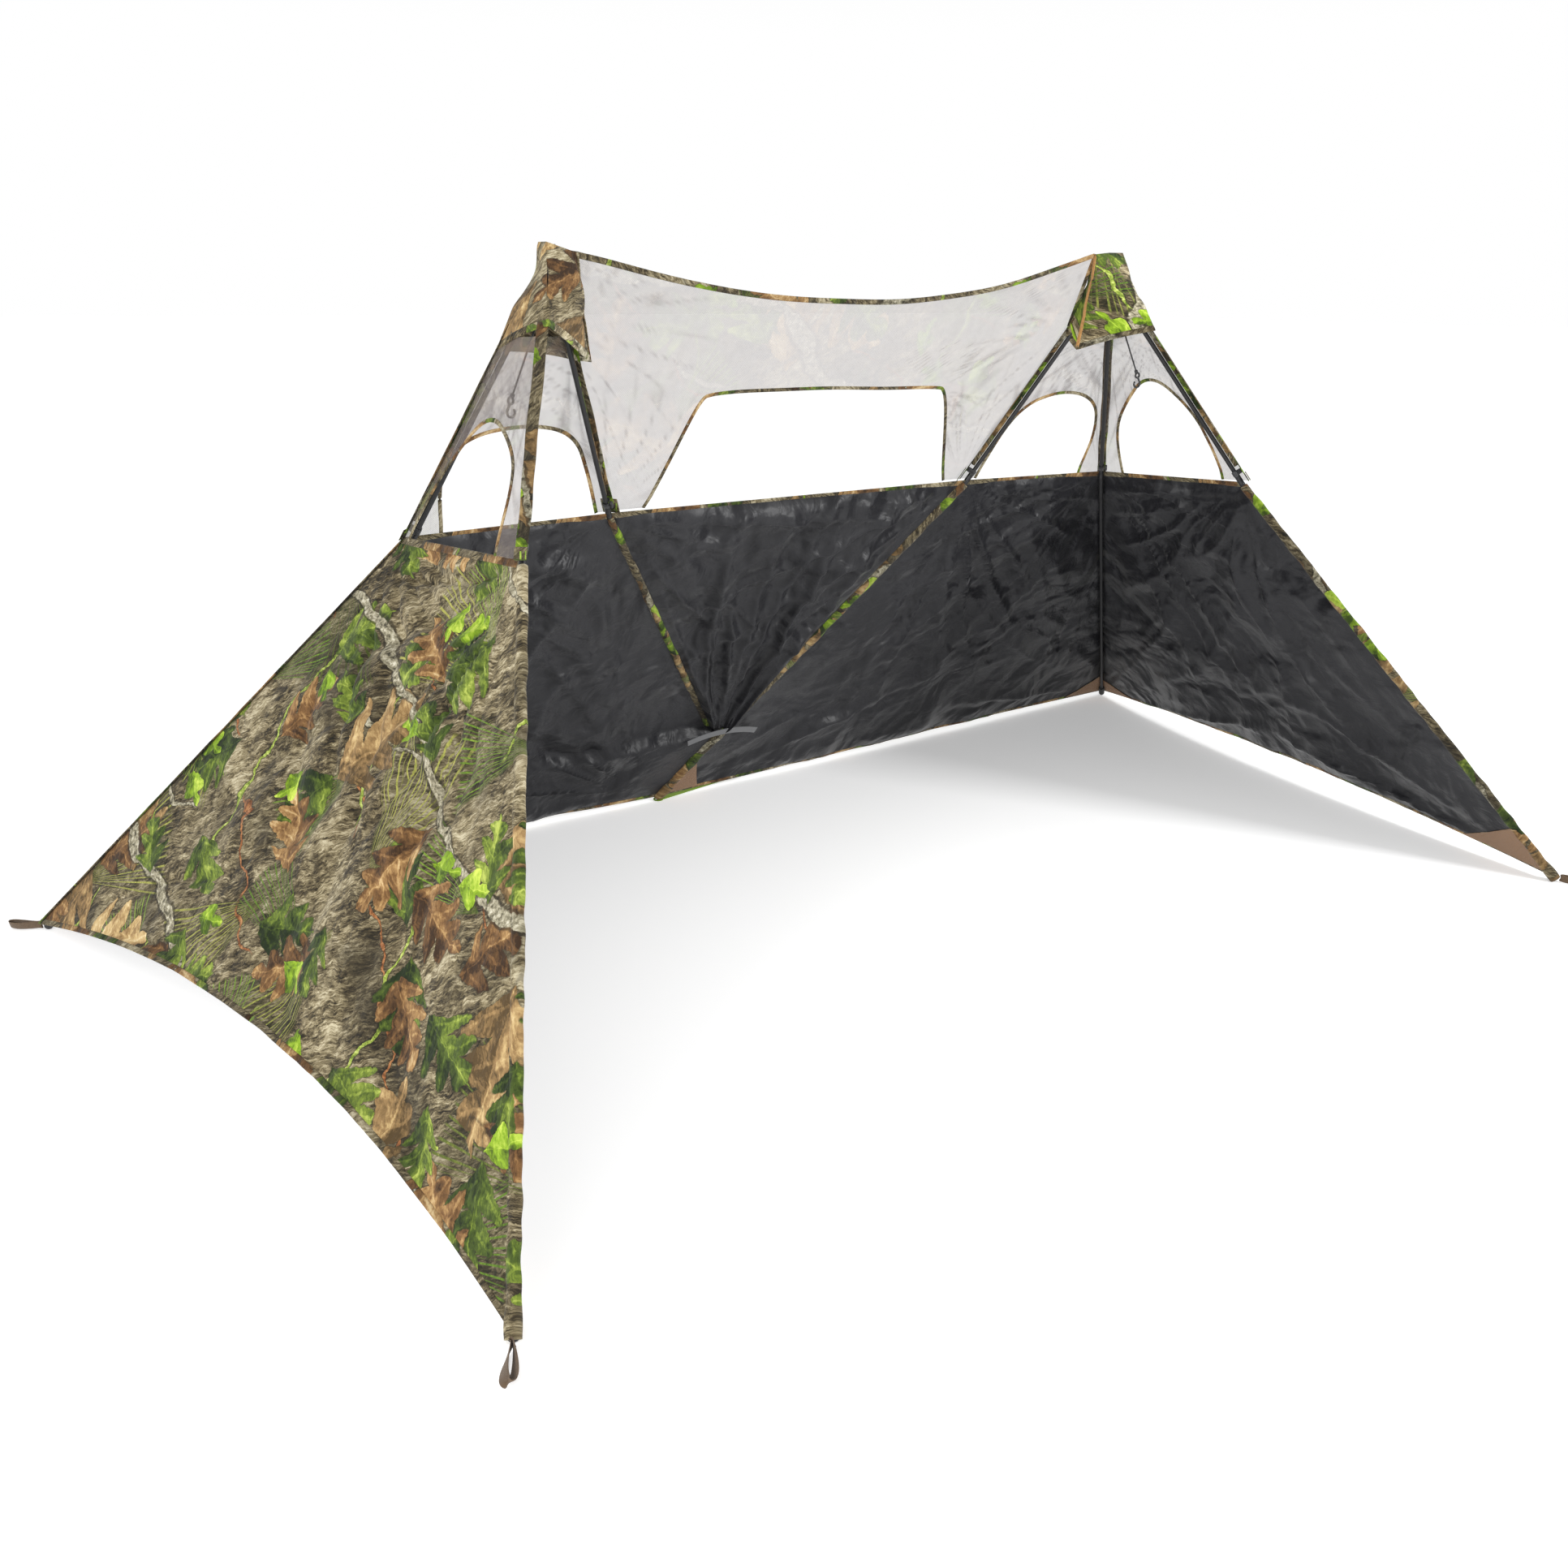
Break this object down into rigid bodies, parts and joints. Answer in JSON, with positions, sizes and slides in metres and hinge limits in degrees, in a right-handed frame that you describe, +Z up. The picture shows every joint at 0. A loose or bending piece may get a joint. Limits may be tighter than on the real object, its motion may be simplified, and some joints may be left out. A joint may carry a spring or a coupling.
{
  "type": "pop up ground blind",
  "caption": "Wide pop-up hunting ground blind on twin hub frames, with blackout walls, netting windows, camouflage peak caps and stake loops; the frame folds.",
  "frame": {"origin": "centre of the standing blind's footprint, on the ground", "axes": "+X along the back of the blind to the right seen from the open front, +Y from the open front to the back, +Z up"},
  "size_m": [3.7034, 1.9924, 1.498],
  "materials": {
    "moulded_black": "moulded",
    "pin_steel": "brushed",
    "pole_black": "satin",
    "ferrule_black": "satin",
    "boot_rubber": "matte",
    "blackout_cloth": "matte coated cloth",
    "netting": "fine open net",
    "camouflage_cloth": "printed cloth",
    "brown_webbing": "woven",
    "grey_webbing": "woven",
    "black_webbing": "woven",
    "shock_cord": "braided",
    "hook_plastic": "glossy"
  },
  "bodies": {
    "ground_strap": {"centre_foot_strap": "black_webbing"},
    "left_centre_leg": {"knuckle_left_centre": "moulded_black", "upper_pole_left_centre": "pole_black", "lower_pole_left_centre": "pole_black", "ferrule_left_centre": "ferrule_black", "foot_boot_left_centre": "boot_rubber", "wall_left_centre": "blackout_cloth", "mesh_left_centre": "netting"},
    "right_centre_leg": {"knuckle_right_centre": "moulded_black", "upper_pole_right_centre": "pole_black", "lower_pole_right_centre": "pole_black", "ferrule_right_centre": "ferrule_black", "foot_boot_right_centre": "boot_rubber", "wall_right_centre": "blackout_cloth", "mesh_right_centre": "netting", "carry_handle": "grey_webbing"},
    "left_hub": {"hub_left": "moulded_black", "hub_pins_left": "pin_steel", "peak_cap_left": "camouflage_cloth"},
    "left_rear_leg": {"knuckle_left_rear": "moulded_black", "upper_pole_left_rear": "pole_black", "lower_pole_left_rear": "pole_black", "ferrule_left_rear": "ferrule_black", "foot_boot_left_rear": "boot_rubber", "wall_left_rear": "blackout_cloth", "mesh_left_rear": "netting", "stake_loop_left_rear": "brown_webbing"},
    "left_front_leg": {"knuckle_left_front": "moulded_black", "upper_pole_left_front": "pole_black", "lower_pole_left_front": "pole_black", "ferrule_left_front": "ferrule_black", "foot_boot_left_front": "boot_rubber", "wall_left_front": "blackout_cloth", "mesh_left_front": "netting", "stake_loop_left_front": "brown_webbing"},
    "left_hook": {"hook_cord_left": "shock_cord", "window_hook_left": "hook_plastic"},
    "right_hub": {"hub_right": "moulded_black", "hub_pins_right": "pin_steel", "peak_cap_right": "camouflage_cloth"},
    "right_rear_leg": {"knuckle_right_rear": "moulded_black", "upper_pole_right_rear": "pole_black", "lower_pole_right_rear": "pole_black", "ferrule_right_rear": "ferrule_black", "foot_boot_right_rear": "boot_rubber", "wall_right_rear": "blackout_cloth", "mesh_right_rear": "netting", "stake_loop_right_rear": "brown_webbing"},
    "right_front_leg": {"knuckle_right_front": "moulded_black", "upper_pole_right_front": "pole_black", "lower_pole_right_front": "pole_black", "ferrule_right_front": "ferrule_black", "foot_boot_right_front": "boot_rubber", "wall_right_front": "blackout_cloth", "mesh_right_front": "netting", "stake_loop_right_front": "brown_webbing"},
    "right_hook": {"hook_cord_right": "shock_cord", "window_hook_right": "hook_plastic"}
  },
  "joints": [
    {"name": "left_foot_lean", "type": "hinge", "parent": "ground_strap", "child": "left_centre_leg", "pos_m": [0.12484, 0.93789, 0.01], "axis": [-0.7114, 0.7028, 0], "range_deg": [0, 28], "deforming": ["wall_left_centre", "mesh_left_centre"]},
    {"name": "left_hub_fold", "type": "hinge", "parent": "left_centre_leg", "child": "left_hub", "pos_m": [-0.76611, 0.18962, 1.399], "axis": [0.7114, -0.7028, 0], "range_deg": [0, 28]},
    {"name": "left_rear_fold", "type": "hinge", "parent": "left_hub", "child": "left_rear_leg", "pos_m": [-0.81635, 0.18692, 1.399], "axis": [-0.632, -0.7749, 0], "range_deg": [0, 24.2], "deforming": ["wall_left_rear", "mesh_left_rear"]},
    {"name": "left_front_fold", "type": "hinge", "parent": "left_hub", "child": "left_front_leg", "pos_m": [-0.81056, 0.13835, 1.399], "axis": [0.7965, -0.6046, 0], "range_deg": [0, 22.5], "deforming": ["wall_left_front", "mesh_left_front"]},
    {"name": "left_hook_swing", "type": "hinge", "parent": "left_hub", "child": "left_hook", "pos_m": [-0.80961, 0.16149, 1.387], "axis": [0.1968, -0.9804, 0], "range_deg": [0, 33]},
    {"name": "right_foot_lean", "type": "hinge", "parent": "ground_strap", "child": "right_centre_leg", "pos_m": [-0.16086, 0.88841, 0.01], "axis": [-0.7114, -0.7028, 0], "range_deg": [0, 28], "deforming": ["wall_right_centre", "mesh_right_centre"]},
    {"name": "right_hub_fold", "type": "hinge", "parent": "right_centre_leg", "child": "right_hub", "pos_m": [0.76611, 0.18962, 1.399], "axis": [0.7114, 0.7028, 0], "range_deg": [0, 28]},
    {"name": "right_rear_fold", "type": "hinge", "parent": "right_hub", "child": "right_rear_leg", "pos_m": [0.81635, 0.18692, 1.399], "axis": [-0.632, 0.7749, 0], "range_deg": [0, 24.2], "deforming": ["wall_right_rear", "mesh_right_rear"]},
    {"name": "right_front_fold", "type": "hinge", "parent": "right_hub", "child": "right_front_leg", "pos_m": [0.81056, 0.13835, 1.399], "axis": [0.7965, 0.6046, 0], "range_deg": [0, 22.5], "deforming": ["wall_right_front", "mesh_right_front"]},
    {"name": "right_hook_swing", "type": "hinge", "parent": "right_hub", "child": "right_hook", "pos_m": [0.80961, 0.16149, 1.387], "axis": [0.1968, 0.9804, 0], "range_deg": [0, 33]}
  ],
  "couplings": [
    {"joint": "left_rear_fold", "follows": "left_foot_lean", "ratio": 0.86},
    {"joint": "left_front_fold", "follows": "left_foot_lean", "ratio": 0.8},
    {"joint": "left_hub_fold", "follows": "left_foot_lean", "ratio": 1},
    {"joint": "right_rear_fold", "follows": "left_foot_lean", "ratio": 0.86},
    {"joint": "right_front_fold", "follows": "left_foot_lean", "ratio": 0.8},
    {"joint": "right_hub_fold", "follows": "left_foot_lean", "ratio": 1},
    {"joint": "right_foot_lean", "follows": "left_foot_lean", "ratio": 1}
  ]
}
